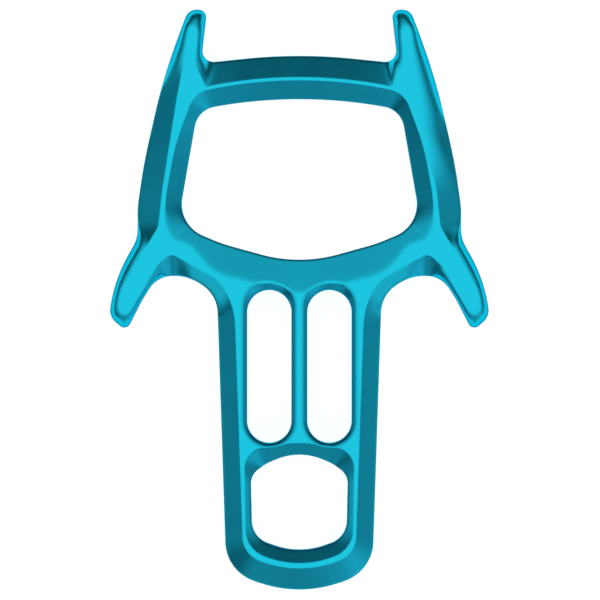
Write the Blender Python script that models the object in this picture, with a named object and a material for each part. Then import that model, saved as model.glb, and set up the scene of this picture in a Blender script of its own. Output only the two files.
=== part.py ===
"""A forged figure eight descender with horns, a rope window, two slots and a carabiner eye.

The real thing is one hot forging, so it is one object here. It lies flat: X is across, Y runs
from the eye to the upper horns and Z is the thickness. Both faces are alike about the parting
plane, where the two forging dies meet. All sizes are in metres and all angles in degrees.

The outside and the two large openings each have two outlines. An upright wall stands on the
parting outline, and from its top a slope climbs to the land outline, where it reaches the flat
face of the part. The height at any point follows from its distances to the two, so the metal is
filled with triangles in plan first and lifted afterwards.

An outline is a closed list of corners (x, y, fillet radius). Its right half is written from the
top middle clockwise to the bottom middle, and the left half is the reflection.
"""

import math

import bmesh
import bpy
import numpy as np
from mathutils import Vector
from mathutils.geometry import delaunay_2d_cdt

# Thickness and edges
THICKNESS = 0.0120
SLOPE_FALL = 0.0038
STEEPEST_SLOPE = 38.0
PARTING_BAND = 0.0010
SLOT_LIP = 0.0013
SLOT_DRAFT = 0.00025

# Openings
EYE_WIDTH = 0.0264
EYE_LENGTH = 0.0262
SLOT_WIDTH = 0.0122
SLOT_LENGTH = 0.0421
WINDOW_WIDTH = 0.0672
WINDOW_TOP_WIDTH = 0.0561
WINDOW_LENGTH = 0.0443
WINDOW_CORNER_RUN = 0.0123

# Slopes, as their width in plan
FOOT_SLOPE = 0.0060
SHANK_SLOPE = 0.0047
EYE_FOOT_SLOPE = 0.0035
EYE_SIDE_SLOPE = 0.0018
EYE_TOP_SLOPE = 0.0031
ARCH_SLOPE = 0.0057
BELLY_SLOPE = 0.0092
LIMB_INNER_SLOPE = 0.0045
LIMB_OUTER_SLOPE = 0.0059
HORN_SLOPE = 0.0040
BAR_LOWER_SLOPE = 0.0050
BAR_UPPER_SLOPE = 0.0055

# Lands, as their width in plan
FOOT_LAND = 0.0015
EYE_SIDE_LAND = 0.0011
RAIL_LAND = 0.00205
WEB_LAND = 0.0013
LIMB_LAND = 0.0015
BAR_LAND = 0.0014

# Walls between a slot and the opening beyond its end
EYE_TO_SLOT = 0.0033
SLOT_TO_WINDOW = 0.0084

# Horns
HORN_RISE = 0.0128
HORN_LEAN = 0.0017
HORN_TIP_WIDTH = 0.0052
HORN_TAPER = 0.0009
LOWER_HORN_REACH = 0.0079
LOWER_HORN_DROP = 0.0216
LOWER_HORN_ROOT = 0.0054
LOWER_HORN_TIP_WIDTH = 0.0048
LOWER_HORN_TIP_DROP = 0.0041

# Straight and bent stretches of the outside
LIMB_BOW = 0.0004
SHOULDER_RISE = 0.0059
SHOULDER_STRAIGHT = 0.0086
ARCH_RISE = 0.0039
ARCH_RUN = 0.0076
FOOT_CORNER_RISE = 0.0054
FOOT_CORNER_RUN = 0.0089
SHANK_TOP_DROP = 0.0016

# How far the eye's sides lean: in at the foot, out at the top, with a short slant above that
EYE_LEAN = 0.0002
EYE_SLANT_RUN = 0.0043
EYE_SLANT_DROP = 0.0031

# Angles at which the arched edges leave the middle, and where the belly turns up to its corner
BAR_TOP_ANGLE = 6.0
BAR_LAND_ANGLE = 10.4
WINDOW_TOP_ANGLE = 10.0
WINDOW_LAND_ANGLE = 13.3
BELLY_ANGLE = 15.4
BELLY_END_ANGLE = 22.9
BELLY_LAND_ANGLE = 13.5
EYE_TOP_ANGLE = 23.2
EYE_TOP_LAND_ANGLE = 9.0
EYE_FOOT_ANGLE = 19.5
EYE_FOOT_LAND_ANGLE = 22.6
FOOT_ANGLE = 16.6
FOOT_LAND_ANGLE = 26.7

# Fillet radii of each outline's corners, in the order of its corners
WINDOW_RADII = (0.132, 0.0066, 0.0095, 0.041, 0.040)
WINDOW_LAND_RADII = (0.1056, 0.0093, 0.060, 0.040, 0.0077, 0.0014, 0.0062, 0.013, 0.015)
EYE_RADII = (0.0165, 0.0125, 0.0049, 0.0065, 0.0209)
EYE_LAND_RADII = (0.032, 0.0059, 0.0066, 0.0223)
BAR_RADIUS = 0.147
BAR_LAND_RADIUS = 0.101
HORN_RADII = (0.0031, 0.0021, 0.0031)
HORN_LAND_RADII = (0.0005, 0.0034, 0.0018, 0.0026)
LIMB_RADII = (0.159, 0.155, 0.034, 0.0094)
LIMB_LAND_RADII = (0.050, 0.080, 0.030, 0.0040, 0.0107)
LOWER_HORN_RADII = (0.042, 0.0043, 0.0018, 0.0266)
LOWER_HORN_LAND_RADII = (0.0208, 0.0014, 0.0018)
ARCH_RADII = (0.0076, 0.0133, 0.0092)
ARCH_LAND_RADII = (0.0081, 0.0022, 0.0093, 0.022)
FOOT_RADII = (0.0117, 0.0128, 0.0338)
FOOT_LAND_RADII = (0.0074, 0.030)

# Steps across and along, from a corner of a parting outline to the corner of its land
TOP_CORNER_TO_LAND = (0.0008, 0.0039)
SHOULDER_TO_WINDOW_LAND = ((0.0029, -0.0003), (0.0012, -0.0041), (-0.0034, -0.0054))
BELLY_END_TO_LAND = (0.0024, -0.0082)
HORN_ROOT_TO_LAND = (0.0014, 0.0003)
INNER_TIP_TO_LAND = (0.0013, -0.0025)
OUTER_TIP_TO_LAND = (0.0003, -0.0029)
SHOULDER_TO_LAND = ((-0.0058, 0.0032), (-0.0004, -0.0056))
KNEE_TO_LAND = (-0.0026, -0.0043)
LOWER_TIP_TO_LAND = (-0.0044, 0.0014)
LOWER_INNER_TIP_TO_LAND = (-0.0012, 0.0056)
ARCH_CORNER_TO_LAND = (0.0033, -0.0023)
ARCH_MIDDLE_TO_LAND = (0.0007, 0.0005)
SHANK_TOP_TO_LAND = (-0.0006, 0.0044)

# Heights along the limbs and rails at which their lands bend
BEND_BELOW_WINDOW_TOP = 0.0100
BEND_ABOVE_SHOULDER = 0.0060
BEND_ABOVE_LIMB = 0.0038
BEND_ABOVE_BOW = 0.0175
BEND_BELOW_SLOT_TOP = 0.0043
BOW_SHARE = 0.6

# Where the lower horn bends, and the step from its inner tip to the start of the arch
KNEE_SHARE = (0.8, 0.52)
INNER_TIP_TO_ARCH = (-0.0042, 0.0083)

# How far from a horn's tip its section is a full round, and where the slope is flat again
UPPER_ROUNDING = (0.0180, 0.0380)
LOWER_ROUNDING = (0.0215, 0.0265)
BAR_ROUNDING_RUN = 0.0025

# Fineness of the triangles
ARC_STEP = 11.0
ARC_GAP = 0.00003
LEAST_TURN = 0.1
LONGEST_SIDE = 0.0050
SLOPE_ROW = 0.88
ROUNDED_ROWS = (0.08, 0.25, 0.55)
LIP_ROWS = (0.0, 0.3, 1.0)
SAME_POINT = 1e-6
SMOOTH_ANGLE = 25

# Places along Y that the sizes above add up to, from the foot to the tips of the upper horns
EYE_FOOT_WALL = FOOT_SLOPE + FOOT_LAND + EYE_FOOT_SLOPE
BAR_DEPTH = BAR_LOWER_SLOPE + BAR_LAND + BAR_UPPER_SLOPE
SHANK_LENGTH = EYE_FOOT_WALL + EYE_LENGTH + EYE_TO_SLOT + SLOT_LENGTH + SLOT_TO_WINDOW
LENGTH = SHANK_LENGTH + WINDOW_LENGTH + BAR_DEPTH + HORN_RISE
FOOT_Y = -LENGTH / 2
EYE_FOOT_Y = FOOT_Y + EYE_FOOT_WALL
EYE_TOP_Y = EYE_FOOT_Y + EYE_LENGTH
SLOT_FOOT_Y = EYE_TOP_Y + EYE_TO_SLOT
SLOT_TOP_Y = SLOT_FOOT_Y + SLOT_LENGTH
WINDOW_FOOT_Y = SLOT_TOP_Y + SLOT_TO_WINDOW
WINDOW_TOP_Y = WINDOW_FOOT_Y + WINDOW_LENGTH
BAR_TOP_Y = WINDOW_TOP_Y + BAR_DEPTH
HORN_TOP_Y = BAR_TOP_Y + HORN_RISE

# Places along X
SLOT_EDGE = SLOT_LIP + SLOT_DRAFT
SLOT_X = WEB_LAND / 2 + SLOT_EDGE + SLOT_WIDTH / 2
SHANK_TOP_X = SLOT_X + SLOT_WIDTH / 2 + SLOT_EDGE + RAIL_LAND + SHANK_SLOPE
EYE_WALL_X = EYE_WIDTH / 2 + EYE_SIDE_SLOPE + EYE_SIDE_LAND + SHANK_SLOPE
LIMB_WIDTH = LIMB_INNER_SLOPE + LIMB_LAND + LIMB_OUTER_SLOPE


def crown(middle_y, angle, radius, reach):
    """The two heights of an arched edge: its corner on the centre line, and its end at reach.

    middle_y is where the edge crosses the centre line once that corner is rounded. A positive
    angle falls away from the middle, and a negative one rises.
    """
    slope = math.radians(angle)
    lift = radius * (1 / math.cos(slope) - 1)
    corner_y = middle_y + math.copysign(lift, angle)
    return corner_y, corner_y - math.tan(slope) * reach


def between(start, end, y):
    """X of the straight line through two places at a height."""
    share = (y - start[1]) / (end[1] - start[1])
    return start[0] + (end[0] - start[0]) * share


def beside(place, step):
    """A place that lies one step across and along from another."""
    return (place[0] + step[0], place[1] + step[1])


def filleted(places, radii):
    """Corners, from places and their fillet radii."""
    return [(x, y, radius) for (x, y), radius in zip(places, radii, strict=True)]


def mirrored(right_half):
    """Closes a right half, whose first and last corners are on the centre line."""
    return right_half + [(-x, y, radius) for x, y, radius in reversed(right_half[1:-1])]


def shank_x(y):
    """Half the shank's width, which tapers from the slots to the middle of the eye."""
    eye_middle_y = (EYE_FOOT_Y + EYE_TOP_Y) / 2
    return between((EYE_WALL_X, eye_middle_y), (SHANK_TOP_X, SLOT_TOP_Y), y)


def window_corners():
    """Window at the parting plane: top middle, top corner, side corner, belly end, belly middle."""
    top_x = WINDOW_TOP_WIDTH / 2
    side_x = WINDOW_WIDTH / 2
    belly_x = side_x - WINDOW_CORNER_RUN
    top_y, top_end_y = crown(WINDOW_TOP_Y, WINDOW_TOP_ANGLE, WINDOW_RADII[0], top_x)
    belly_y, belly_end_y = crown(WINDOW_FOOT_Y, -BELLY_ANGLE, WINDOW_RADII[-1], belly_x)
    side_y = belly_end_y + math.tan(math.radians(BELLY_END_ANGLE)) * WINDOW_CORNER_RUN
    places = [(0, top_y), (top_x, top_end_y), (side_x, side_y), (belly_x, belly_end_y), (0, belly_y)]
    return filleted(places, WINDOW_RADII)


def window_land_corners():
    """Land round the window: it keeps to the limbs, turns in at the shoulders and dips to the web."""
    _, top_corner, side_corner, belly_end, _ = window_corners()
    top_x, _ = beside(top_corner, TOP_CORNER_TO_LAND)
    land_top_y = WINDOW_TOP_Y + BAR_LOWER_SLOPE
    top_y, top_end_y = crown(land_top_y, WINDOW_LAND_ANGLE, WINDOW_LAND_RADII[0], top_x)
    places = [(0, top_y), (top_x, top_end_y)]
    for bend_y in (top_corner[1] - BEND_BELOW_WINDOW_TOP, side_corner[1] + BEND_ABOVE_SHOULDER):
        places.append((between(top_corner, side_corner, bend_y) + LIMB_INNER_SLOPE, bend_y))
    places += [beside(side_corner, step) for step in SHOULDER_TO_WINDOW_LAND]
    foot_y, _ = crown(WINDOW_FOOT_Y - BELLY_SLOPE, -BELLY_LAND_ANGLE, WINDOW_LAND_RADII[-1], 0)
    places += [beside(belly_end, BELLY_END_TO_LAND), (0, foot_y)]
    return filleted(places, WINDOW_LAND_RADII)


def eye_corners():
    """Carabiner eye at the parting plane: arched at both ends, with nearly straight sides."""
    top_x, foot_x = EYE_WIDTH / 2 + EYE_LEAN, EYE_WIDTH / 2 - EYE_LEAN
    slant_x = top_x - EYE_SLANT_RUN
    top_y, slant_y = crown(EYE_TOP_Y, EYE_TOP_ANGLE, EYE_RADII[0], slant_x)
    foot_y, foot_end_y = crown(EYE_FOOT_Y, -EYE_FOOT_ANGLE, EYE_RADII[-1], foot_x)
    side_y = slant_y - EYE_SLANT_DROP
    places = [(0, top_y), (slant_x, slant_y), (top_x, side_y), (foot_x, foot_end_y), (0, foot_y)]
    return filleted(places, EYE_RADII)


def eye_land_corners():
    """Land round the eye, which is squarer than the eye itself."""
    top_x = EYE_WIDTH / 2 + EYE_SIDE_SLOPE
    foot_x = top_x - 2 * EYE_LEAN
    land_top_y, land_foot_y = EYE_TOP_Y + EYE_TOP_SLOPE, EYE_FOOT_Y - EYE_FOOT_SLOPE
    top_y, top_end_y = crown(land_top_y, EYE_TOP_LAND_ANGLE, EYE_LAND_RADII[0], top_x)
    foot_y, foot_end_y = crown(land_foot_y, -EYE_FOOT_LAND_ANGLE, EYE_LAND_RADII[-1], foot_x)
    return filleted([(0, top_y), (top_x, top_end_y), (foot_x, foot_end_y), (0, foot_y)], EYE_LAND_RADII)


def bar_and_horn_corners():
    """Outside along the top bar to the root of an upper horn and round its tip."""
    root_x = WINDOW_TOP_WIDTH / 2 - HORN_TAPER
    bar_y, root_y = crown(BAR_TOP_Y, BAR_TOP_ANGLE, BAR_RADIUS, root_x)
    inner_x = root_x - HORN_LEAN
    places = [(0, bar_y), (root_x, root_y), (inner_x, HORN_TOP_Y), (inner_x + HORN_TIP_WIDTH, HORN_TOP_Y)]
    return filleted(places, (BAR_RADIUS, *HORN_RADII))


def limb_corners():
    """Outside down a limb, which bows out, to its shoulder."""
    _, window_top, window_side, _, _ = window_corners()
    limb_y = BAR_TOP_Y - BAR_UPPER_SLOPE
    bow_y = WINDOW_FOOT_Y + WINDOW_LENGTH * BOW_SHARE
    shoulder_y = WINDOW_FOOT_Y + SHOULDER_RISE
    straight_y = shoulder_y + SHOULDER_STRAIGHT
    limb_x, bow_x, shoulder_x = (
        between(window_top, window_side, y) + LIMB_WIDTH for y in (limb_y, bow_y, straight_y)
    )
    places = [(limb_x - HORN_TAPER, limb_y), (bow_x + LIMB_BOW, bow_y)]
    places += [(shoulder_x, straight_y), (shoulder_x, shoulder_y)]
    return filleted(places, LIMB_RADII)


def lower_horn_corners():
    """Outside of a lower horn: its knee, the two corners of its tip, and the bend back to the arch."""
    shoulder = limb_corners()[-1]
    knee = beside(shoulder, (LOWER_HORN_REACH * KNEE_SHARE[0], -LOWER_HORN_DROP * KNEE_SHARE[1]))
    tip = beside(shoulder, (LOWER_HORN_REACH, -LOWER_HORN_DROP))
    inner_tip = beside(tip, (-LOWER_HORN_TIP_WIDTH, -LOWER_HORN_TIP_DROP))
    return filleted([knee, tip, inner_tip, beside(inner_tip, INNER_TIP_TO_ARCH)], LOWER_HORN_RADII)


def arch_corners():
    """Outside under a shoulder: both upper corners of the arch and the top of the shank."""
    arch_y = SLOT_TOP_Y + ARCH_RISE
    outer_x = limb_corners()[-1][0] - LOWER_HORN_ROOT
    places = [(outer_x, arch_y), (SHANK_TOP_X + ARCH_RUN, arch_y)]
    return filleted(places + [(SHANK_TOP_X, SLOT_TOP_Y - SHANK_TOP_DROP)], ARCH_RADII)


def foot_corners():
    """Outside round the foot: the shank's corner, the start of the arched foot and its middle."""
    corner_y = FOOT_Y + FOOT_CORNER_RISE
    foot_x = EYE_WALL_X - FOOT_CORNER_RUN
    foot_y, foot_end_y = crown(FOOT_Y, -FOOT_ANGLE, FOOT_RADII[-1], foot_x)
    return filleted([(shank_x(corner_y), corner_y), (foot_x, foot_end_y), (0, foot_y)], FOOT_RADII)


def bar_and_horn_land_corners():
    """Land along the top bar and round an upper horn."""
    _, root, inner_tip, outer_tip = bar_and_horn_corners()
    bend_x = root[0] - HORN_ROOT_TO_LAND[0]
    bar_y, bend_y = crown(BAR_TOP_Y - BAR_UPPER_SLOPE, BAR_LAND_ANGLE, BAR_LAND_RADIUS, bend_x)
    places = [(0, bar_y), (bend_x, bend_y), beside(root, HORN_ROOT_TO_LAND)]
    places += [beside(inner_tip, INNER_TIP_TO_LAND), beside(outer_tip, OUTER_TIP_TO_LAND)]
    return filleted(places, (BAR_LAND_RADIUS, *HORN_LAND_RADII))


def limb_land_corners():
    """Land down the outer side of a limb and over its shoulder."""
    outer_tip = bar_and_horn_corners()[-1]
    limb, bow, straight, shoulder = limb_corners()
    horn_y, limb_y = limb[1] + BEND_ABOVE_LIMB, bow[1] + BEND_ABOVE_BOW
    straight_y = straight[1] + BEND_ABOVE_SHOULDER
    places = [
        (between(outer_tip, limb, horn_y) - HORN_SLOPE, horn_y),
        (between(limb, bow, limb_y) - LIMB_OUTER_SLOPE, limb_y),
        (between(bow, straight, straight_y) - LIMB_OUTER_SLOPE, straight_y),
    ]
    return filleted(places + [beside(shoulder, step) for step in SHOULDER_TO_LAND], LIMB_LAND_RADII)


def lower_horn_land_corners():
    """Land round a lower horn."""
    knee, tip, inner_tip, _ = lower_horn_corners()
    places = [beside(knee, KNEE_TO_LAND), beside(tip, LOWER_TIP_TO_LAND)]
    return filleted(places + [beside(inner_tip, LOWER_INNER_TIP_TO_LAND)], LOWER_HORN_LAND_RADII)


def arch_land_corners():
    """Land over an arch and down to the rail beside the slot."""
    outer, inner, shank_top = arch_corners()
    middle = ((outer[0] + inner[0]) / 2, outer[1] + ARCH_SLOPE)
    rail_y = SLOT_TOP_Y - BEND_BELOW_SLOT_TOP
    places = [
        beside(outer, ARCH_CORNER_TO_LAND),
        beside(middle, ARCH_MIDDLE_TO_LAND),
        beside(shank_top, SHANK_TOP_TO_LAND),
        (shank_x(rail_y) - SHANK_SLOPE, rail_y),
    ]
    return filleted(places, ARCH_LAND_RADII)


def foot_land_corners():
    """Land round the foot."""
    corner_x = foot_corners()[0][0] - SHANK_SLOPE
    foot_y, corner_y = crown(FOOT_Y + FOOT_SLOPE, -FOOT_LAND_ANGLE, FOOT_LAND_RADII[-1], corner_x)
    return filleted([(corner_x, corner_y), (0, foot_y)], FOOT_LAND_RADII)


def slot_corners(grow):
    """The right slot, grown all round: four corners whose fillets make its two half rounds."""
    half = SLOT_WIDTH / 2 + grow
    left, right = SLOT_X - half, SLOT_X + half
    top, foot = SLOT_TOP_Y + grow, SLOT_FOOT_Y - grow
    return filleted([(left, top), (right, top), (right, foot), (left, foot)], [half] * 4)


def fillet_reaches(corners):
    """How far each corner's fillet runs along its sides, shortened where two would overlap."""
    places = [Vector(corner[:2]) for corner in corners]
    wanted, lengths = [], []
    for index, place in enumerate(places):
        following = places[(index + 1) % len(places)]
        turn = math.pi - (places[index - 1] - place).angle(following - place)
        wanted.append(max(SAME_POINT, corners[index][2] * math.tan(turn / 2)))
        lengths.append((following - place).length)
    reaches = []
    for index, reach in enumerate(wanted):
        before = lengths[index - 1] / (wanted[index - 1] + reach)
        after = lengths[index] / (reach + wanted[(index + 1) % len(wanted)])
        reaches.append(reach * min(1, before, after))
    return reaches


def fillet_points(before, corner, after, reach):
    """Points of the arc that rounds a corner, from the side before it to the side after it."""
    to_before = (before - corner).normalized()
    to_after = (after - corner).normalized()
    turn = math.pi - to_before.angle(to_after)
    if math.degrees(turn) < LEAST_TURN:
        return [corner]
    radius = reach / math.tan(turn / 2)
    step = min(math.radians(ARC_STEP), 2 * math.acos(1 - min(1, ARC_GAP / radius)))
    steps = 2 * math.ceil(turn / (2 * step))
    centre = corner + (to_before + to_after).normalized() * (radius / math.cos(turn / 2))
    start = corner + to_before * reach - centre
    end = corner + to_after * reach - centre
    return [centre + start.slerp(end, count / steps) * radius for count in range(steps + 1)]


def outline(corners):
    """Closed outline with filleted corners, as an array of points without repeats."""
    places = [Vector(corner[:2]) for corner in corners]
    points = []
    for index, reach in enumerate(fillet_reaches(corners)):
        after = places[(index + 1) % len(places)]
        points += fillet_points(places[index - 1], places[index], after, reach)
    filled = []
    for index, point in enumerate(points):
        gap = points[(index + 1) % len(points)] - point
        pieces = math.ceil(gap.length / LONGEST_SIDE)
        if gap.length > SAME_POINT:
            filled += [point + gap * (piece / pieces) for piece in range(pieces)]
    return np.array([tuple(point) for point in filled], float)


def nearest(points, loop):
    """The nearest place on a closed loop to each point, and how far it is."""
    side = np.roll(loop, -1, axis=0) - loop
    offset = points[:, None] - loop
    share = (offset * side).sum(2) / (side * side).sum(1)
    foot = loop + side * np.clip(share, 0, 1)[..., None]
    distance = np.linalg.norm(points[:, None] - foot, axis=2)
    best = distance.argmin(1)
    rows = np.arange(len(points))
    return foot[rows, best], distance[rows, best]


def inside(points, loop):
    """Whether each point lies inside a closed loop."""
    x, y = points[:, 0, None], points[:, 1, None]
    start, end = loop, np.roll(loop, -1, axis=0)
    spans = (start[:, 1] > y) != (end[:, 1] > y)
    rise = np.where(spans, end[:, 1] - start[:, 1], 1)
    cross = start[:, 0] + (y - start[:, 1]) * (end[:, 0] - start[:, 0]) / rise
    return (spans & (x < cross)).sum(1) % 2 == 1


def climb(points, parting, land, metal_inside):
    """Share of the way from a parting outline, 0, to its land outline, 1, and the way's length."""
    from_parting = nearest(points, parting)[1]
    to_land = nearest(points, land)[1]
    past_land = inside(points, land) == metal_inside
    whole = np.maximum(from_parting + np.where(past_land, -to_land, to_land), SAME_POINT)
    return np.clip(from_parting / whole, 0, 1), whole


def fade(distance, ends):
    """1 up to the first distance, 0 from the second on, and a smooth change between them."""
    share = np.clip((distance - ends[0]) / (ends[1] - ends[0]), 0, 1)
    return 1 - share * share * (3 - 2 * share)


def roundness(points):
    """1 where the section is a full round, on the horns, and 0 where its slope is flat."""
    _, root, inner_tip, outer_tip = bar_and_horn_corners()
    lower_tip = lower_horn_corners()[1]
    across = np.abs(points[:, 0])
    upper_x = (inner_tip[0] + outer_tip[0]) / 2
    upper = fade(np.hypot(across - upper_x, points[:, 1] - HORN_TOP_Y), UPPER_ROUNDING)
    on_bar = fade(across, (root[0] - BAR_ROUNDING_RUN, root[0]))
    lower = fade(np.hypot(across - lower_tip[0], points[:, 1] - lower_tip[1]), LOWER_ROUNDING)
    return np.maximum(upper * (1 - on_bar), lower)


def slope_height(share, width):
    """Height of a flat slope, which falls less where it is narrow, so that it is never too steep."""
    fall = np.minimum(SLOPE_FALL, width * math.tan(math.radians(STEEPEST_SLOPE)))
    return THICKNESS / 2 - fall * (1 - share)


def heights(points, shape):
    """Height of the upper surface over the parting plane at each point of the metal."""
    low, high = PARTING_BAND / 2, THICKNESS / 2
    share, width = climb(points, shape["outside"], shape["outside_land"], True)
    rounded = low + (high - low) * np.sqrt(share * (2 - share))
    round_share = roundness(points)
    surface = slope_height(share, width) * (1 - round_share) + rounded * round_share
    for name in ("window", "eye"):
        slope = slope_height(*climb(points, shape[name], shape[name + "_land"], False))
        surface = np.minimum(surface, slope)
    for slot in shape["slots"]:
        from_slot = nearest(points, slot)[1]
        across_lip = np.clip((from_slot - SLOT_DRAFT) / SLOT_LIP, 0, 1)
        surface -= SLOT_LIP * (1 - np.sqrt(across_lip * (2 - across_lip)))
        surface = np.where(from_slot < SAME_POINT, low, surface)
    return np.maximum(surface, low)


def flipped(loop):
    """The same loop on the other side of the centre line."""
    return loop[::-1] * (-1, 1)


def plan_shape():
    """Every outline of the part, by name."""
    slot = outline(slot_corners(0))
    upper = bar_and_horn_corners() + limb_corners()
    lower = lower_horn_corners() + arch_corners() + foot_corners()
    upper_land = bar_and_horn_land_corners() + limb_land_corners()
    lower_land = lower_horn_land_corners() + arch_land_corners() + foot_land_corners()
    return {
        "outside": outline(mirrored(upper + lower)),
        "outside_land": outline(mirrored(upper_land + lower_land)),
        "window": outline(mirrored(window_corners())),
        "window_land": outline(mirrored(window_land_corners())),
        "eye": outline(mirrored(eye_corners())),
        "eye_land": outline(mirrored(eye_land_corners())),
        "slots": [slot, flipped(slot)],
    }


def slope_row(shape, name, share):
    """Points part of the way from a parting outline to the nearest places of its land outline."""
    land, _ = nearest(shape[name], shape[name + "_land"])
    return shape[name] + (land - shape[name]) * share


def rounded_rows(shape):
    """Open rows of points that follow the horns between their two outlines."""
    rows = []
    for share in ROUNDED_ROWS:
        row = slope_row(shape, "outside", share)
        on_horn = roundness(row) > 0
        start = np.flatnonzero(~on_horn)[0]
        row, on_horn = np.roll(row, -start, axis=0), np.roll(on_horn, -start)
        breaks = np.flatnonzero(np.diff(on_horn)) + 1
        rows += np.split(row, breaks)[1::2]
    return rows


def lip_rows():
    """Closed rows round both slots, up their draft and over their lip."""
    rows = []
    for share in LIP_ROWS:
        row = outline(slot_corners(SLOT_DRAFT + SLOT_LIP * share))
        rows += [row, flipped(row)]
    return rows


def plan_triangles(shape):
    """Points and triangles that fill the metal in plan and keep to every outline and row."""
    walls = [shape["outside"], shape["window"], shape["eye"], *shape["slots"]]
    closed = walls + lip_rows()
    for name in ("outside", "window", "eye"):
        closed += [shape[name + "_land"], slope_row(shape, name, SLOPE_ROW)]
    points, edges = [], []
    for loop in closed:
        count, first = len(loop), len(points)
        points += [Vector(point) for point in loop]
        edges += [(first + index, first + (index + 1) % count) for index in range(count)]
    for row in rounded_rows(shape):
        first = len(points)
        points += [Vector(point) for point in row]
        edges += [(index, index + 1) for index in range(first, len(points) - 1)]
    found = delaunay_2d_cdt(points, edges, [], 0, SAME_POINT / 100)
    points = np.array([tuple(point) for point in found[0]])
    faces = np.array(found[2])
    middles = points[faces].mean(1)
    metal = inside(middles, walls[0])
    for opening in walls[1:]:
        metal &= ~inside(middles, opening)
    return points, faces[metal]


def upper_surface(body):
    """Lifts the plan's triangles into the upper surface."""
    shape = plan_shape()
    points, faces = plan_triangles(shape)
    lifted = np.column_stack([points, heights(points, shape)])
    corners = [body.verts.new(point) for point in lifted]
    for face in faces:
        body.faces.new([corners[index] for index in face])
    loose = [vertex for vertex in body.verts if not vertex.link_faces]
    bmesh.ops.delete(body, geom=loose, context="VERTS")
    bmesh.ops.recalc_face_normals(body, faces=body.faces[:])


def draw_wall(body):
    """Draws the surface's open edges down to the parting plane, as upright walls."""
    rim = [edge for edge in body.edges if edge.is_boundary]
    drawn = bmesh.ops.extrude_edge_only(body, edges=rim)
    for item in drawn["geom"]:
        if isinstance(item, bmesh.types.BMVert):
            item.co.z = 0
    bmesh.ops.recalc_face_normals(body, faces=body.faces[:])


def anodised_blue():
    """Satin turquoise anodising on bead blasted aluminium."""
    material = bpy.data.materials.new("anodised_blue")
    material.use_nodes = True
    shader = material.node_tree.nodes["Principled BSDF"]
    shader.inputs["Base Color"].default_value = (0.012, 0.55, 0.74, 1)
    shader.inputs["Metallic"].default_value = 1
    shader.inputs["Roughness"].default_value = 0.38
    return material


def forged_body():
    """The whole forging: the upper half and its reflection in the parting plane."""
    surface = bmesh.new()
    upper_surface(surface)
    draw_wall(surface)
    mesh = bpy.data.meshes.new("forged_body")
    surface.to_mesh(mesh)
    surface.free()
    body = bpy.data.objects.new("forged_body", mesh)
    bpy.context.scene.collection.objects.link(body)
    body.location.z = THICKNESS / 2
    mesh.materials.append(anodised_blue())
    mesh.shade_smooth()
    mesh.set_sharp_from_angle(angle=math.radians(SMOOTH_ANGLE))
    reflection = body.modifiers.new("reflection", "MIRROR")
    reflection.use_axis = (False, False, True)
    reflection.merge_threshold = SAME_POINT
    return body


def main():
    for leftover in list(bpy.data.objects):
        bpy.data.objects.remove(leftover)
    body = forged_body()
    print(body.name, len(body.data.polygons), "faces in its upper half")


main()
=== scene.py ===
# %% [markdown]
# A figure eight descender is one piece of hot forged aluminium. A climber's rope runs through its
# window, and its eye hangs from a carabiner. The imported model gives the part's size and place.
# This file dresses it: a finer skin of the same form, satin anodising, a floor, light and a camera.

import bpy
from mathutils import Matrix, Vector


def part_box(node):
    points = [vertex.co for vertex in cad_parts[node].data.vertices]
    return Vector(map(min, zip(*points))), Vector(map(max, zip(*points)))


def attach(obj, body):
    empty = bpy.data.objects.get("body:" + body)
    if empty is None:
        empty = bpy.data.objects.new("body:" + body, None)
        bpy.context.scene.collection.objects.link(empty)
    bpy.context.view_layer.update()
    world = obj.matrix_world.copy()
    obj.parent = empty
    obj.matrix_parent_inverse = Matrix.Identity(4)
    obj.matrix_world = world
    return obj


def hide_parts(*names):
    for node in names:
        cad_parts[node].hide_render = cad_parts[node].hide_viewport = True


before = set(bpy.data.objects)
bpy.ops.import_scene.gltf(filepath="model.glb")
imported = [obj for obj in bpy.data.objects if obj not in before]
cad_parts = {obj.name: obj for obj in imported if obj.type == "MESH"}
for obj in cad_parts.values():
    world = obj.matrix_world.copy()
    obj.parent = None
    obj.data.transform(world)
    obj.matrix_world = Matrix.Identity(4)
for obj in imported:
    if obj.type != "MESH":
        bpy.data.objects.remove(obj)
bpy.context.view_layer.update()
low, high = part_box("forged_body")
print("forging", [round(1000 * side, 2) for side in high - low], "mm")

# %% [markdown]
# A forging like this is drawn as outlines with rounded corners. Each outline here is a short list
# of corners in millimetres: across, along, and the radius that rounds it. A bevel would do the
# same to a finished mesh, but a list of radii keeps every curve as exact as on a drawing. An arc
# starts some way before its corner, and where two arcs would overlap, both give way.

# %% Find how far each arc reaches
import math
import numpy as np
from mathutils import Vector

MM = 0.001
LEAST_REACH = 1e-7


def reaches(places, radii):
    """How far each corner's arc runs along its sides, shortened where two would overlap."""
    wanted, lengths = [], []
    for index, place in enumerate(places):
        following = places[(index + 1) % len(places)]
        turn = math.pi - (places[index - 1] - place).angle(following - place)
        wanted.append(max(LEAST_REACH, radii[index] * math.tan(turn / 2)))
        lengths.append((following - place).length)
    shares = [length / (reach + wanted[(index + 1) % len(wanted)])
              for index, (reach, length) in enumerate(zip(wanted, lengths))]
    return [reach * min(1, shares[index - 1], shares[index]) for index, reach in enumerate(wanted)]


square = [Vector(corner) for corner in ((0, 0), (0, 10), (10, 10), (10, 0))]
print("in a 10 mm square a 2 mm corner reaches", round(reaches(square, [2] * 4)[0], 3), "mm")
print("and an 8 mm one, which meets the next, only", round(reaches(square, [8] * 4)[0], 3), "mm")

# %% [markdown]
# Arcs are cut into short sides, because a smooth edge shows every flat. The steps are even in
# angle, and small enough for both the tightest corner and the longest bow.

# %% Round a corner
SIDE = 0.0005
ARC_STEP = math.radians(9)
STRAIGHT = math.radians(0.1)


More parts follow.
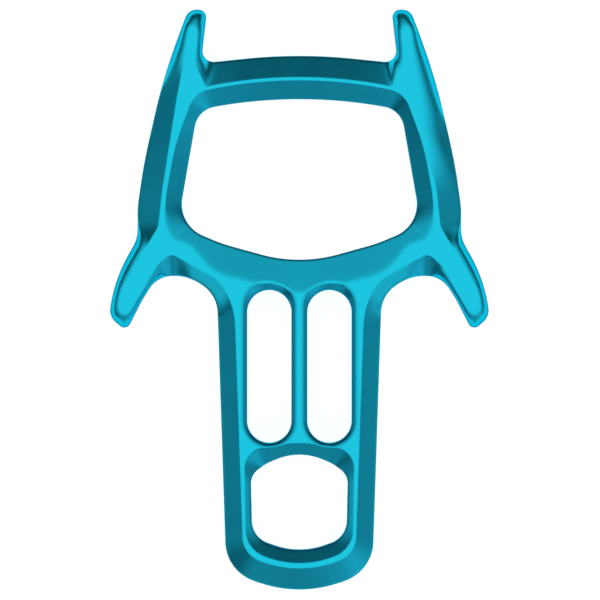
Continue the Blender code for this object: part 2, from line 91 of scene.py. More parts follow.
def arc(before, corner, after, reach):
    """Points of the arc that rounds a corner."""
    to_before, to_after = (before - corner).normalized(), (after - corner).normalized()
    turn = math.pi - to_before.angle(to_after)
    if turn < STRAIGHT:
        return [corner]
    radius = reach / math.tan(turn / 2)
    centre = corner + (to_before + to_after).normalized() * (radius / math.cos(turn / 2))
    start, end = corner + to_before * reach - centre, corner + to_after * reach - centre
    steps = math.ceil(turn / min(ARC_STEP, SIDE / radius))
    return [centre + start.slerp(end, count / steps) * radius for count in range(steps + 1)]


print("a 5 mm corner takes", len(arc(*[place * MM for place in square[:3]], 5 * MM)), "points")

# %% [markdown]
# The sides between the arcs are cut to the same length, so that the mesh is even all round. The
# two halves of the part are alike but for one flank, so mostly the right half alone is listed,
# clockwise from the top middle.

# %% Turn corners into an outline
NO_GAP = 1e-6


def outline(corners):
    """The closed outline of a list of corners, as rows of x and y in metres."""
    places = [Vector((x * MM, y * MM)) for x, y, _ in corners]
    points = []
    for index, reach in enumerate(reaches(places, [corner[2] * MM for corner in corners])):
        after = places[(index + 1) % len(places)]
        points += arc(places[index - 1], places[index], after, reach)
    filled = []
    for index, point in enumerate(points):
        gap = points[(index + 1) % len(points)] - point
        if gap.length > NO_GAP:
            pieces = math.ceil(gap.length / SIDE)
            filled += [point + gap * (piece / pieces) for piece in range(pieces)]
    return np.array([tuple(point) for point in filled])


def both_halves(right_half, left_half=None):
    """A closed list of corners, from halves that start and end on the centre line."""
    left_half = left_half or right_half
    return right_half + [(-x, y, radius) for x, y, radius in reversed(left_half[1:-1])]


def extent(loop):
    """A loop's size across and along in millimetres."""
    return (np.ptp(loop, axis=0) / MM).round(2)


disc = outline(both_halves([(0, 5, 5), (5, 5, 5), (5, -5, 5), (0, -5, 5)]))
print("a disc of", extent(disc), "mm takes", len(disc), "points")

# %% [markdown]
# Every edge of the part has two outlines. The wall is where the two forging dies met, halfway up
# the thickness. The land is where the sloping flank reaches the flat top. The window's flank is
# narrow along the limbs and wide at the belly, where the rope bends over it. A bevel on the wall
# would give a flank of one width all round, so both outlines are listed.

# %% The rope window
window_wall = outline(both_halves([
    (0.00, 57.34, 132.0), (28.05, 52.39, 6.6), (33.60, 20.57, 9.5), (21.30, 15.38, 41.0),
    (0.00, 9.51, 40.0),
]))
window_land = outline(both_halves([
    (0.00, 63.10, 128.0), (28.85, 57.00, 7.5), (34.29, 42.39, 60.0), (37.15, 26.57, 40.0),
    (36.80, 20.10, 7.7), (34.80, 16.47, 1.4), (30.20, 15.17, 6.2), (23.70, 7.18, 13.0),
    (0.00, 1.37, 15.0),
]))
print("window", extent(window_wall), "mm")

# %% [markdown]
# The carabiner's eye is arched at both ends, with nearly straight sides. Cutting it with a
# cylinder would be quicker, but the eye isn't round, so it has corners of its own.

# %% The eye
eye_wall = outline(both_halves([
    (0.00, -41.35, 16.5), (9.10, -45.25, 12.5), (13.40, -48.35, 4.9), (13.00, -65.67, 6.5),
    (0.00, -70.27, 20.9),
]))
eye_land = outline(both_halves([
    (0.00, -39.10, 32.0), (15.20, -41.50, 5.9), (14.80, -68.80, 8.0), (0.00, -74.60, 26.0),
]))
print("eye", extent(eye_wall), "mm")

# %% [markdown]
# The outside runs along the top bar, round an upper horn, down the bowed limb to the shoulder,
# round a lower horn and under its arch, and down the tapering shank to the arched foot. It could
# be traced point by point, but a few corners with radii make smoother curves and are easy to
# change.

# %% The outside wall
outside_wall = outline(both_halves([
    (0.00, 68.01, 147.0),
    (27.15, 65.16, 3.1), (25.45, 80.00, 2.1), (30.65, 80.00, 3.1),
    (37.43, 61.70, 159.0), (42.93, 37.58, 155.0), (44.64, 25.50, 34.0), (44.64, 16.90, 9.4),
    (50.96, 5.67, 42.0), (52.54, -4.70, 4.3), (47.74, -8.80, 1.8), (43.54, -0.50, 26.6),
    (39.24, 6.50, 7.6), (30.30, 6.50, 13.3), (22.70, 1.00, 9.2),
    (20.19, -74.60, 11.7), (11.90, -77.92, 12.8), (0.00, -81.47, 33.8),
]))
print("outside", extent(outside_wall), "mm,", len(outside_wall), "points")

# %% [markdown]
# The land follows the outside a few millimetres further in. It is a little wider on the left
# limb, whose outer flank is one flat panel, than on the right one, which rolls over. Only the
# corners that differ are listed twice.

# %% The outside land
above_limb = [
    (0.00, 63.78, 126.0), (25.75, 58.58, 0.5), (28.90, 65.00, 3.0), (28.20, 75.30, 1.4),
    (30.50, 75.20, 1.6), (30.90, 70.00, 30.0),
]
rolled_limb = [(33.10, 51.00, 60.0), (33.60, 45.50, 30.0), (37.70, 31.00, 20.0)]
flat_limb = [(33.80, 55.50, 60.0), (37.75, 30.00, 60.0)]
below_limb = [
    (38.84, 20.10, 4.0), (44.90, 10.00, 12.0), (49.20, 2.20, 12.0), (49.90, -3.60, 1.6),
    (47.40, -4.00, 1.4), (42.50, 4.20, 6.0), (40.30, 8.40, 6.0), (35.47, 12.70, 2.2),
    (22.10, 5.40, 9.3), (17.86, -1.70, 22.0), (15.49, -70.25, 7.2), (0.00, -76.10, 30.0),
]
outside_land = outline(both_halves(
    above_limb + rolled_limb + below_limb, above_limb + flat_limb + below_limb,
))
print("land", extent(outside_land), "mm,", len(outside_land), "points")

# %% [markdown]
# Two slots lighten the shank and take a rope for braking. Each is a stadium, a straight slot with
# half round ends, which a corner radius of half its width gives. The left slot is the right one
# flipped, so that one number changes both.

# %% The two slots
SLOT_LEFT, SLOT_RIGHT, SLOT_FOOT, SLOT_TOP = 2.2, 14.4, -39.5, 2.6


def slot(grow):
    """The right slot's outline in metres, grown all round by a number of millimetres."""
    left, right, foot, top = SLOT_LEFT - grow, SLOT_RIGHT + grow, SLOT_FOOT - grow, SLOT_TOP + grow
    radius = (right - left) / 2
    places = ((left, top), (right, top), (right, foot), (left, foot))
    return outline([(x, y, radius) for x, y in places])


def flipped(loop):
    """The same loop on the other side of the centre line."""
    return loop[::-1] * (-1, 1)


slot_walls = [slot(0), flipped(slot(0))]
print("slot", extent(slot_walls[0]), "mm")

# %% [markdown]
# The height of the surface at any place follows from how far it is from the two outlines of each
# edge. The nearest corner of a loop is found with a search tree, which is far quicker than trying
# them all, and the exact distance is that to the two sides that meet there.

# %% Measure distances to an outline
from mathutils.kdtree import KDTree


def nearest(points, others):
    """Which of the other places is nearest to each point, and how far away it is."""
    tree = KDTree(len(others))
    for index, (x, y) in enumerate(others):
        tree.insert((x, y, 0), index)
    tree.balance()
    found = [tree.find((x, y, 0)) for x, y in points]
    return np.array([index for _, index, _ in found], int), np.array([away for _, _, away in found])


def distances(points, loop):
    """How far each point is from a closed loop."""
    near, _ = nearest(points, loop)
    best = np.full(len(points), np.inf)
    for start, end in ((near - 1, near), (near, (near + 1) % len(loop))):
        side = loop[end] - loop[start]
        share = ((points - loop[start]) * side).sum(1) / (side * side).sum(1)
        foot = loop[start] + side * np.clip(share, 0, 1)[:, None]
        best = np.minimum(best, np.hypot(*(points - foot).T))
    return best


flank_widths = distances(outside_land, outside_wall) / MM
print("outer flank", flank_widths.min().round(2), "to", flank_widths.max().round(2), "mm wide")

# %% [markdown]
# A place is inside a loop if a line drawn from it to one side crosses the loop an odd number of
# times. With that, a distance gets a sign that says whether a place is on the flank or the land.

# %% Tell the flank from the land
def inside(points, loop):
    """Whether each point lies inside a closed loop."""
    x, y = points.T
    odd = np.zeros(len(points), bool)
    for (x0, y0), (x1, y1) in zip(loop, np.roll(loop, -1, axis=0)):
        if y0 != y1:
            odd ^= ((y0 > y) != (y1 > y)) & (x < x0 + (y - y0) * (x1 - x0) / (y1 - y0))
    return odd


def below_land(points, land, metal_inside):
    """How far each point is from a land outline: over 0 on the flank and under 0 on the land."""
    past_land = inside(points, land) == metal_inside
    return distances(points, land) * np.where(past_land, -1, 1)


web_middle = np.array([(0, -0.02)])
to_flank = -below_land(web_middle, outside_land, True)[0]
print("the web's middle is", round(to_flank / MM, 2), "mm from the outer flank")

# %% [markdown]
# A flank meets the land in an edge that blasting has softened by a few tenths of a millimetre.
# A bevel modifier can't follow edges that fade in and out, so a soft minimum of the two surfaces
# does it: it follows the lower one and rounds the corner between them.

# %% Soften an edge
def soft_minimum(one, other, softness):
    """The lower of two heights, rounded off where they meet."""
    near = np.maximum(softness - np.abs(one - other), 0)
    return np.minimum(one, other) - near * near / (4 * softness)


print("a softness of 0.4 mm takes", round(-soft_minimum(0, 0, 0.4), 2), "mm off where two surfaces meet")

# %% [markdown]
# Most flanks are flat slopes over a low upright band, which is what the dies and the trimming
# press leave. A wide flank would reach the parting plane, so it stops at a greatest depth, and
# its lower edge rolls over towards the upright band.

# %% A flat flank
HALF = (high.z - low.z) / 2
DEEPEST, DEEPEST_EASE = 0.0038, 0.0005
EDGE = 0.0001
CORNER, CORNER_SLOPE = 0.0006, 0.95
LEAST_WIDTH = 1e-6


def measured(points, wall, land):
    """How far each place is below the land, how wide the flank is there, and how far the wall is."""
    below = below_land(points, land, wall is outside_wall)
    from_wall = distances(points, wall)
    return below, np.maximum(from_wall + below, LEAST_WIDTH), from_wall


def flat_flank(below, width, from_wall, slope, edge):
    """Height of a flat slope with a softened upper edge and a rolled lower one."""
    fall = soft_minimum(slope * width, DEEPEST, DEEPEST_EASE)
    surface = soft_minimum(HALF - fall * below / width, HALF, edge)
    low_edge = np.maximum(CORNER - from_wall, 0) ** 2 / (2 * CORNER)
    return surface - np.maximum(CORNER_SLOPE - fall / width, 0) * low_edge


print("a flat flank falls by at most", DEEPEST / MM, "of", round(HALF / MM, 2), "mm")

# %% [markdown]
# Each section of the part runs out into the next over some length, as the die sinker's cutter
# left it. This fade is the usual smooth step, which starts and ends without a crease.

# %% Fade between sections
def fade(value, ends):
    """1 up to the first end, 0 from the second on, and a smooth change between them."""
    share = np.clip((value - ends[0]) / (ends[1] - ends[0]), 0, 1)
    return 1 - share * share * (3 - 2 * share)


BAR_SIDE, BAR_TOP = (0.02465, 0.02715), (0.0680, 0.0700)


def off_bar(points):
    """0 on the top bar, and 1 away from it."""
    return 1 - fade(np.abs(points[:, 0]), BAR_SIDE) * fade(points[:, 1], BAR_TOP)


print("from the bar to a horn:", off_bar(np.array([(x * MM, 0.062) for x in range(24, 29)])).round(2))

# %% [markdown]
# Outside, flanks are steep on the shank and the left limb, and gentler on the right limb's outer
# side. They are gentlest in the arches under the shoulders, where a rope slides along them. One
# slope all round would be simpler, but the shade of each flank shows how steep it is.

# %% Slopes of the outside
SLOPE, ARCH_SLOPE, RIGHT_SLOPE = 0.78, 0.36, 0.56
ARCH_X, ARCH_Y, ARCH_FADE, ARCH_END = 0.0285, 0.0065, (0.0085, 0.0135), (0.0290, 0.0350)
RIGHT_FOOT = (0.0165, 0.0205)


def outer_slope(points):
    """How steep the outer flank is at each place, as its fall over its run."""
    across, along = np.abs(points[:, 0]), points[:, 1]
    arch = fade(np.hypot(across - ARCH_X, along - ARCH_Y), ARCH_FADE) * fade(across, ARCH_END)
    right = off_bar(points) * (1 - fade(along, RIGHT_FOOT)) * (points[:, 0] > 0)
    return SLOPE + (ARCH_SLOPE - SLOPE) * arch + (RIGHT_SLOPE - SLOPE) * right


for name, slope in (("flank", SLOPE), ("arch", ARCH_SLOPE), ("right limb", RIGHT_SLOPE)):
    print(name, round(math.degrees(math.atan(slope))), "degrees steep")

# %% [markdown]
# The upper part of the right limb rolls over in one large radius. Such an edge is an arc that
# runs on as a straight slope once it is steep enough. A bevel would stop short where the flat
# flank begins, but a height can change slowly from one section to the other.

# %% The rolled limb
LIMB_RADIUS, LIMB_LEAD, LIMB_STEEPEST = 0.0092, 0.0003, math.radians(38)
LIMB_START = (0.0270, 0.0430)


def rolled(run, radius, steepest):
    """How far an edge of this radius has fallen after a run."""
    run = np.maximum(run, 0)
    turned = np.minimum(run, radius * math.sin(steepest))
    return radius - np.sqrt(radius * radius - turned * turned) + (run - turned) * math.tan(steepest)


def limb_share(points):
    """How much of the rolled limb's section there is at each place."""
    return off_bar(points) * (1 - fade(points[:, 1], LIMB_START)) * (points[:, 0] > 0)


print("after 6 mm the limb's side has fallen",
      round(rolled(0.006, LIMB_RADIUS, LIMB_STEEPEST) / MM, 2), "mm")

# %% [markdown]
# The four horns guide a moving rope, so they are nearly round. Their section is a quarter of an
# oval on a short upright band. The upper horns start further up on the left than on the right,
# and the lower ones along a slanting line at the shoulder.

# %% Where the horns are
LEFT_HORN_START, RIGHT_HORN_START = (0.0570, 0.0690), (0.0480, 0.0580)
LOWER_FROM, LOWER_START = 0.030, (0.0287, 0.0322)
LOWER_ACROSS, LOWER_ALONG = 0.887, -0.463


def horn_share(points):
    """How much of the horns' section there is at each place."""
    across, along = np.abs(points[:, 0]), points[:, 1]
    flat = np.where(points[:, 0] > 0, fade(along, RIGHT_HORN_START), fade(along, LEFT_HORN_START))
    upper = off_bar(points) * (1 - flat)
    outward = LOWER_ACROSS * across + LOWER_ALONG * along
    lower = (1 - fade(outward, LOWER_START)) * (across > LOWER_FROM)
    return np.maximum(lower, upper)


horn_tips = np.array([(0.0295, 0.0770), (0.0485, -0.0040)])
print("share of the round section at an upper and a lower tip", horn_share(horn_tips))

# %% [markdown]
# A distance to an outline has a crease wherever two of its sides are equally near, and a horn's
# tip is full of them. The mean of a small ring of distances round each place has none. Close to
# the wall the exact distance takes over, so that the outline stays sharp.

# %% The section of a horn
HORN_TALL, HORN_BAND = 1.5, 0.0010
HORN_EASE, HORN_RIM = 0.0013, (0, 0.0018)
RING = [(math.cos(math.radians(turn)), math.sin(math.radians(turn))) for turn in range(0, 360, 45)]


def eased(points, loop):
    """How far outside a loop each place is, as the mean of a small ring round it."""
    return np.mean([below_land(points + np.array(way) * HORN_EASE, loop, True) for way in RING], axis=0)


def oval(share, tall):
    """How far a quarter of an oval of this height has fallen after a share of its width."""
    return tall * (1 - np.sqrt(1 - np.clip(share, 0, 1) ** 2))


def horn_height(points):
    """Height of the oval section of the horns."""
    below, from_wall = eased(points, outside_land), distances(points, outside_wall)
    from_wall += (-eased(points, outside_wall) - from_wall) * (1 - fade(from_wall, HORN_RIM))
    width = np.maximum(from_wall + below, LEAST_WIDTH)
    return HALF - oval(below / width, np.minimum(HORN_TALL * width, HALF - HORN_BAND))


print("the tips are", (2 * horn_height(horn_tips) / MM).round(2), "mm thick")

# %% [markdown]
# With its sections ready, the whole outer flank is a blend of three: flat, rolled and oval. They
# could be three meshes that meet at seams, but a seam shows in a satin finish and a blend of
# heights has none.

# %% The outer flank
def outside_height(points):
    """Height of the outside flank and of the land."""
    below, width, from_wall = measured(points, outside_wall, outside_land)
    flat = flat_flank(below, width, from_wall, outer_slope(points), EDGE)
    limb_round = HALF - rolled(below + LIMB_LEAD, LIMB_RADIUS, LIMB_STEEPEST)
    limb, horn = limb_share(points), horn_share(points)
    surface = flat * (1 - limb) + limb_round * limb
    on_horn = horn > 0
    surface[on_horn] += (horn_height(points[on_horn]) - surface[on_horn]) * horn[on_horn]
    return surface


limb_sides = np.array([(-0.0400, 0.0420), (0.0400, 0.0420)])
print("left and right limb, 2 mm in:", (outside_height(limb_sides) / MM).round(2), "mm high")

# %% [markdown]
# Inside, the window's flank is gentle and soft edged at the belly, where the rope bends. The
# eye's flank is steeper at its arched ends than along its sides. Both are flat flanks like the
# outer one, with slopes of their own.

# %% The window and the eye
BELLY_SLOPE, BELLY_EDGE, BELLY_END = 0.41, 0.00035, (0.0200, 0.0280)
EYE_SLOPE, EYE_SIDE, EYE_MIDDLE, EYE_SIDES = 0.67, 0.47, -0.0565, (0.0055, 0.0110)


def window_height(points):
    """Height of the window's flank and of the land."""
    belly = fade(points[:, 1], BELLY_END)
    slope, edge = SLOPE + (BELLY_SLOPE - SLOPE) * belly, EDGE + (BELLY_EDGE - EDGE) * belly
    return flat_flank(*measured(points, window_wall, window_land), slope, edge)


def eye_height(points):
    """Height of the eye's flank and of the land."""
    slope = EYE_SLOPE + (EYE_SIDE - EYE_SLOPE) * fade(np.abs(points[:, 1] - EYE_MIDDLE), EYE_SIDES)
    return flat_flank(*measured(points, eye_wall, eye_land), slope, EDGE)


belly_middle, eye_foot = np.array([(0, 0.0055)]), np.array([(0, -0.0720)])
for name, height in (("belly", window_height(belly_middle)), ("eye's foot", eye_height(eye_foot))):
    print(name, (height / MM).round(2), "mm high")

# %% [markdown]
# The slots have no flank. Their lips are rolled instead, so that a rope pulled through them isn't
# pinched, and more widely at the top end, where it bends most. Below the lip the wall is upright.
# The lip is the same kind of rolled edge as the limb's.

# %% The slots' lips
SLOT_BAND, SLOT_RADIUS, SLOT_STEEPEST = 0.0005, 0.0025, math.radians(41)
SIDE_LIP, TOP_LIP, TOP_TURN = 0.0021, 0.0034, (0.0, 1.0)
SLOT_X, SLOT_Y = (SLOT_LEFT + SLOT_RIGHT) / 2, SLOT_TOP - (SLOT_RIGHT - SLOT_LEFT) / 2


def slot_fall(points, wall):
    """How far a slot's rolled lip falls, and how far the slot is."""
    from_wall = distances(points, wall)
    across, along = np.abs(points[:, 0]) / MM - SLOT_X, points[:, 1] / MM - SLOT_Y
    lip = TOP_LIP + (SIDE_LIP - TOP_LIP) * fade(along / np.hypot(across, along), TOP_TURN)
    return rolled(lip - from_wall, SLOT_RADIUS, SLOT_STEEPEST), from_wall


lip_foot = np.array([(SLOT_LEFT * MM, -0.02)])
print("a side lip falls", (slot_fall(lip_foot, slot_walls[0])[0] / MM).round(2), "mm to its foot")

# %% [markdown]
# Where two flanks meet, as between the slots and the eye, the ridge is soft. The falls of all
# edges are joined by the fifth root of the sum of their fifth powers: the largest rules, and two
# that are alike add a little to each other.

# %% The height of the surface
MEET = 5
AT_WALL = 1e-6


def heights(points):
    """Height over the parting plane at each place on the metal."""
    flanks = (outside_height(points), window_height(points), eye_height(points))
    lips = [slot_fall(points, wall) for wall in slot_walls]
    falls = [np.maximum(HALF - flank, 0) for flank in flanks] + [fall for fall, _ in lips]
    surface = HALF - sum(fall ** MEET for fall in falls) ** (1 / MEET)
    for _, from_wall in lips:
        surface = np.where(from_wall < AT_WALL, SLOT_BAND, surface)
    return np.maximum(surface, 0)


for name, x, y in (("bar", 0, 60.75), ("shoulder", 38, 14), ("web", 0, -20), ("rail", 16, -20)):
    print(name, (heights(np.array([(x * MM, y * MM)])) / MM).round(3), "mm high")

# %% [markdown]
# The metal is filled with triangles in plan before it is lifted. Rows of points follow each
# outline closely where the surface bends, so that few triangles are spent where it is flat.

# %% Rows of points along the bends
WALL_ROWS = (0, 0.03, 0.1, 0.2, 0.3, 0.55, 0.9, 1.1)
LAND_ROWS = (-0.28, -0.13, 0, 0.13, 0.28)
LIP_ROWS = (0, 0.03, 0.3, 0.6, 0.9, 1.2, 1.5, 1.8, 2.1)


def moved_in(loop, distance):
    """A clockwise loop moved in by a number of millimetres, or out if it is negative."""
    along = np.roll(loop, -1, axis=0) - np.roll(loop, 1, axis=0)
    along /= np.hypot(*along.T)[:, None]
    return loop + np.column_stack([along[:, 1], -along[:, 0]]) * distance * MM


rows = []
for wall, land, inward in (
    (outside_wall, outside_land, 1), (window_wall, window_land, -1), (eye_wall, eye_land, -1),
):
    rows += [moved_in(wall, inward * step) for step in WALL_ROWS]
    rows += [moved_in(land, step) for step in LAND_ROWS]
for step in LIP_ROWS:
    rows += [slot(step), flipped(slot(step))]
print(len(rows), "rows with", sum(map(len, rows)), "points")

# %% [markdown]
# An even grid of nearly equal triangles fills the rest. Filling each flank with one large face
# would be quicker, but its long thin triangles show as streaks in a satin finish. The grid is
# kept off the rows, because a grid point close to a row would make a sliver.

# %% Fill between the rows with an even grid
GRID, GRID_ROW = 0.0007, 0.866
CLEARANCE = 0.0004


def on_metal(points):
    """Whether each point is inside the outside and outside every opening."""
    metal = inside(points, outside_wall)
    for opening in (window_wall, eye_wall, *slot_walls):
        metal &= ~inside(points, opening)
    return metal


across, along = np.meshgrid(np.arange(0, high.x, GRID), np.arange(low.y, high.y, GRID * GRID_ROW))
across = across + (np.arange(len(along)) % 2)[:, None] * GRID / 2
grid = np.column_stack([across.ravel(), along.ravel()])
grid = np.vstack([grid, grid[grid[:, 0] > 0] * (-1, 1)])
grid = grid[on_metal(grid)]
row_points = np.vstack(rows)
grid = grid[nearest(grid, row_points)[1] > CLEARANCE]
print(len(grid), "grid points")

# %% [markdown]
# A constrained triangulation keeps the rows as edges, so that no triangle cuts across a bend.
# It fills the openings too, and what lies in them is dropped.

# %% Triangulate the metal in plan
from mathutils.geometry import delaunay_2d_cdt

SAME_PLACE = 1e-8

edges, first = [], 0
for row in rows:
    count = len(row)
    edges += [(first + index, first + (index + 1) % count) for index in range(count)]
    first += count
plan = [Vector(point) for point in np.vstack([row_points, grid])]
found = delaunay_2d_cdt(plan, edges, [], 0, SAME_PLACE)
points, triangles = np.array([tuple(point) for point in found[0]]), np.array(found[2])
triangles = triangles[on_metal(points[triangles].mean(1))]
print(len(points), "points,", len(triangles), "triangles in plan")

# %% [markdown]
# Lifting every point to its height gives the upper half. A plain grid could be lifted too, but
# its edges would be ragged, as no grid line follows an outline. The open rim is drawn down to
# the parting plane, which makes the upright bands. Extruding it would do the same, but its faces
# would come in another order each run.

# %% Lift the plan into the upper half
import bmesh
import bpy

surface = bmesh.new()
corners = [surface.verts.new((x, y, z)) for (x, y), z in zip(points, heights(points))]
for triangle in triangles:
    surface.faces.new([corners[index] for index in triangle])
unused = [vertex for vertex in surface.verts if not vertex.link_faces]
bmesh.ops.delete(surface, geom=unused, context="VERTS")
bmesh.ops.recalc_face_normals(surface, faces=surface.faces[:])
feet = {}
for edge in [edge for edge in surface.edges if edge.is_boundary]:
    for corner in edge.verts:
        if corner not in feet:
            feet[corner] = surface.verts.new((corner.co.x, corner.co.y, 0))
    start = edge.link_loops[0]
    ahead = start.link_loop_next
    surface.faces.new((ahead.vert, start.vert, feet[start.vert], feet[ahead.vert]))
bmesh.ops.recalc_face_normals(surface, faces=surface.faces[:])
mesh = bpy.data.meshes.new("forging")
surface.to_mesh(mesh)
surface.free()
mesh.shade_smooth()
print("upper half", len(mesh.polygons), "faces")

# %% [markdown]
# A mirror makes the lower half, as the two dies are alike, and keeps both halves the same if
# one is changed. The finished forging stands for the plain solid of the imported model, which is
# hidden.

# %% Mirror it and put it in place
SAME_POINT = 1e-6

forging = bpy.data.objects.new("forging", mesh)
bpy.context.scene.collection.objects.link(forging)
forging.location.z = HALF
mirror = forging.modifiers.new("lower half", "MIRROR")
mirror.use_axis = (False, False, True)
mirror.merge_threshold = SAME_POINT
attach(forging, "root")
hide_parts("forged_body")
print("parting plane", round(forging.location.z / MM, 2), "mm up")

# %% [markdown]
# Shader maths is easier to read as arithmetic. This class wraps the output of a node. Adding or
# multiplying wires puts in the Math nodes that do it, and add puts in any other node.

# %% A wire for shader maths
class Wire:
    """The output of a shader node, which takes part in sums."""

    def __init__(self, socket):
        self.socket = socket
        self.tree = socket.id_data

    @classmethod
    def add(cls, tree, kind, settings=None, inputs=None, output=0):
        """Adds a node: its settings first, then the values or wires of its sockets."""
        node = tree.nodes.new(kind)
        for name, value in (settings or {}).items():
            setattr(node, name, value)
        for name, value in (inputs or {}).items():
            if isinstance(value, Wire):
                value.feed(node, name)
            else:
                node.inputs[name].default_value = value
        return cls(node.outputs[output])

    def feed(self, node, name):
        """Links this wire to a socket of a node."""
        self.tree.links.new(self.socket, node.inputs[name])

    def maths(self, operation, one, other):
        """A Math node of two values, of which one at least is a wire."""
        return Wire.add(self.tree, "ShaderNodeMath", {"operation": operation}, {0: one, 1: other})

    def __add__(self, other):
        return self.maths("ADD", self, other)

    def __radd__(self, other):
        return self.maths("ADD", other, self)

    def __sub__(self, other):
        return self.maths("SUBTRACT", self, other)

    def __rsub__(self, other):
        return self.maths("SUBTRACT", other, self)

    def __mul__(self, other):
        return self.maths("MULTIPLY", self, other)

    def __rmul__(self, other):
        return self.maths("MULTIPLY", other, self)

    def power(self, exponent):
        return self.maths("POWER", self, exponent)


print("wires can be added, subtracted, multiplied and raised to a power")

# %% [markdown]
# The forging is bead blasted, which leaves a fine even grain. It could be painted on as light
# and dark specks, but those would look flat when the part is turned. So a fine noise tilts the
# surface a little instead. A broader noise varies how the blasting and the dye took.

# %% Blasted grain
GRAIN_SCALE, PATCH_SCALE = 3600, 160
GRAIN_STRENGTH, GRAIN_DEPTH = 0.18, 0.0001

anodised = bpy.data.materials.new("anodised_blue")
anodised.use_nodes = True
tree = anodised.node_tree
place = Wire.add(tree, "ShaderNodeTexCoord", output="Object")
grain = Wire.add(tree, "ShaderNodeTexNoise", inputs={
    "Vector": place, "Scale": GRAIN_SCALE, "Detail": 2, "Roughness": 0.6,
})
patches = Wire.add(tree, "ShaderNodeTexNoise", inputs={
    "Vector": place, "Scale": PATCH_SCALE, "Detail": 3,
})
bump = Wire.add(tree, "ShaderNodeBump", inputs={
    "Height": grain, "Strength": GRAIN_STRENGTH, "Distance": GRAIN_DEPTH,
})
finish = tree.nodes["Principled BSDF"]
bump.feed(finish, "Normal")
print("grain of", round(1000 / GRAIN_SCALE, 2), "mm and patches of", round(1000 / PATCH_SCALE, 1), "mm")

# %% [markdown]
# Dyed anodising over bright aluminium behaves as a coloured metal: what it mirrors takes its
# colour. The dye is a shade lighter where the layer is thin, and the patches are a little more
# matt. The tint colours what the metal mirrors at a glancing angle, which would else be white.

# %% Satin turquoise anodising
DYE = (0.0116, 0.552, 0.745, 1)
THIN_DYE = (0.014, 0.62, 0.80, 1)
GLANCING_DYE = (0.05, 0.32, 0.45, 1)
SATIN, PATCH_MATT = 0.21, 0.08
EACH, THIN_FROM = 0.5, 0.25

thin = patches * EACH + grain * EACH - THIN_FROM
colour = Wire.add(
    tree, "ShaderNodeMix", {"data_type": "RGBA"}, {"Factor": thin, "A": DYE, "B": THIN_DYE}, "Result",
)
colour.feed(finish, "Base Color")
(SATIN + patches * PATCH_MATT).feed(finish, "Roughness")
finish.inputs["Metallic"].default_value = 1
finish.inputs["Specular Tint"].default_value = GLANCING_DYE
mesh.materials.append(anodised)
print("anodising", len(tree.nodes), "nodes")

# %% [markdown]
# The photograph's ground is plain white. A floor of pale card does for it. Its colour alone would
# render grey under plain light, so the rays of the camera and of mirroring surfaces also see a
# little of their own white on it, and the shadow stays.

# %% White card
CARD = (0.35, 0.35, 0.35, 1)
OWN_WHITE = 0.88

card = bpy.data.materials.new("white_card")
card.use_nodes = True
tree = card.node_tree
tree.nodes.remove(tree.nodes["Principled BSDF"])
camera_ray, glossy_ray, transmission_ray = [
    Wire.add(tree, "ShaderNodeLightPath", output=kind)
    for kind in ("Is Camera Ray", "Is Glossy Ray", "Is Transmission Ray")
]
seen = camera_ray + glossy_ray + transmission_ray
matt = Wire.add(tree, "ShaderNodeBsdfDiffuse", inputs={"Color": CARD})
own = Wire.add(tree, "ShaderNodeEmission", inputs={"Color": (1, 1, 1, 1), "Strength": seen * OWN_WHITE})
both = Wire.add(tree, "ShaderNodeAddShader", inputs={0: matt, 1: own})
both.feed(tree.nodes["Material Output"], "Surface")
print("card", len(tree.nodes), "nodes")

# %% [markdown]
# The floor is a large disc just under the part, so that the two faces don't lie in one plane. A
# small one would do from above, but a wide one also lies under the part in views from the side.

# %% Floor
FLOOR, FLOOR_SIDES = 4.0, 64
BELOW = 0.00005

bpy.ops.mesh.primitive_circle_add(
    vertices=FLOOR_SIDES, radius=FLOOR, fill_type="NGON", location=(0, 0, -BELOW),
)
floor = bpy.context.object
floor.name = "floor"
floor.data.materials.append(card)
print("floor", 2 * FLOOR, "m across")

# %% [markdown]
# The light is that of a tent over a table: brightest straight above, where it renders the dye as
# it is written, and dim at its foot. Flat lands mirror the top of the tent and flanks mirror its
# foot, which is what draws the dark bevels in the photograph. Area lamps could brighten the foot
# too, but a satin metal mirrors their edges, so soft panels are painted on the tent. Each has an
# azimuth in degrees, a strength and a narrowness, which is the power that the cosine of the
# angle to its aim is raised to.

# %% Panels round the foot of the tent
FOOT = 0.035
RISE = 0.10
PANELS = ((4, 0.26, 14), (183, 0.28, 12), (247, 0.46, 16), (280, 0.20, 12), (316, 0.68, 7))

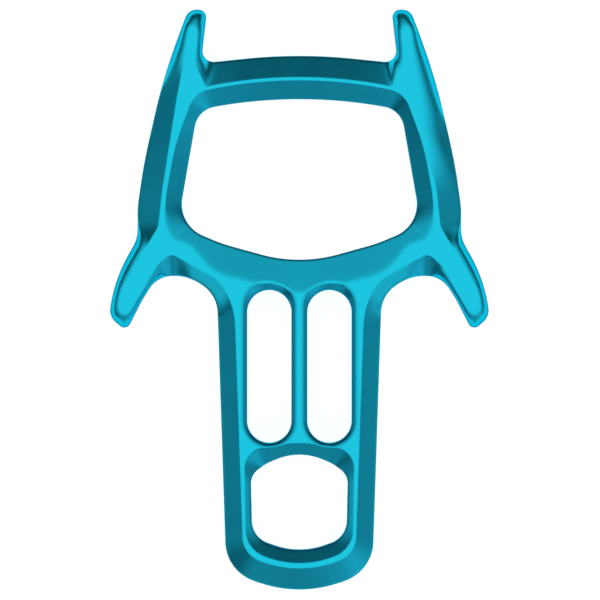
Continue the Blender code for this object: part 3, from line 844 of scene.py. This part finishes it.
world = bpy.data.worlds.new("tent")
bpy.context.scene.world = world
world.use_nodes = True
tree = world.node_tree
direction = Wire.add(tree, "ShaderNodeTexCoord", output="Generated")
foot = FOOT
for azimuth, strength, narrowness in PANELS:
    turn = math.radians(azimuth)
    aim = Vector((math.cos(turn), math.sin(turn), RISE)).normalized()
    facing = Wire.add(
        tree, "ShaderNodeVectorMath", {"operation": "DOT_PRODUCT"}, {0: direction, 1: aim}, "Value",
    )
    foot = foot + strength * facing.maths("MAXIMUM", facing, 0).power(narrowness)
print("tent with", len(PANELS), "panels round its foot")

# %% [markdown]
# The top of the tent brightens evenly with height, and the cast of its foot fades as it does.
# The dark flanks in the photograph are a touch greyer and bluer than the bright lands. A second
# dye could give that, but the part has only one, so the light has the cast.

# %% The top of the tent
ZENITH = 1.03
TOP_FROM = 0.35
CAST, WHITE = (1.25, 0.99, 1.10, 1), (1, 1, 1, 1)

height = Wire.add(tree, "ShaderNodeSeparateXYZ", inputs={0: direction}, output="Z")
top = Wire.add(tree, "ShaderNodeMapRange", inputs={"Value": height, "From Min": TOP_FROM, "From Max": 1})
light = foot * (1 - top) + ZENITH * top
cast = Wire.add(
    tree, "ShaderNodeMix", {"data_type": "RGBA"}, {"Factor": top, "A": CAST, "B": WHITE}, "Result",
)
cast.feed(tree.nodes["Background"], "Color")
light.feed(tree.nodes["Background"], "Strength")
print("light", ZENITH, "overhead and", FOOT, "at its dimmest")

# %% [markdown]
# The photograph looks straight down from far off. A long lens from 3 m up keeps the walls upright
# in view, and the part's middle is a little off the picture's.

# %% Camera
FRAME_WIDTH = 0.16562
DISTANCE = 3.0
SENSOR = 36
FAR = 20
MIDDLE_X, MIDDLE_Y = 0.00018, -0.00013

lens = bpy.data.cameras.new("camera")
lens.sensor_width = SENSOR
lens.lens = SENSOR * DISTANCE / FRAME_WIDTH
lens.clip_end = FAR
camera = bpy.data.objects.new("camera", lens)
camera.location = (MIDDLE_X, MIDDLE_Y, HALF + DISTANCE)
bpy.context.scene.collection.objects.link(camera)
bpy.context.scene.camera = camera
bpy.context.scene.view_settings.view_transform = "Standard"
print("lens", round(lens.lens), "mm")
